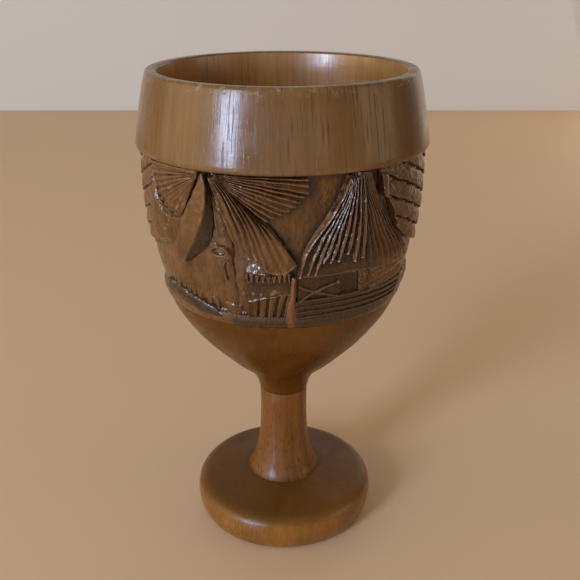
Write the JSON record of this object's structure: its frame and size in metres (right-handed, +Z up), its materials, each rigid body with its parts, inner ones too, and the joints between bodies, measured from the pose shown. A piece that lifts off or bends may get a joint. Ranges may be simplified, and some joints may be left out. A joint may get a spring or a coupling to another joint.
{
  "type": "wooden goblet",
  "caption": "Turned hardwood goblet with a plain rim band, a carved frieze round its bowl, a slim stem and a round foot.",
  "frame": {"origin": "centre of the foot's underside", "axes": "+Z up along the goblet's axis, -Y towards the front of the carving"},
  "size_m": [0.1024, 0.1024, 0.18],
  "materials": {
    "bowl_wood": "satin varnish",
    "stem_wood": "satin varnish",
    "foot_wood": "satin varnish"
  },
  "bodies": {
    "root": {"bowl": "bowl_wood", "stem": "stem_wood", "foot": "foot_wood"}
  },
  "joints": []
}
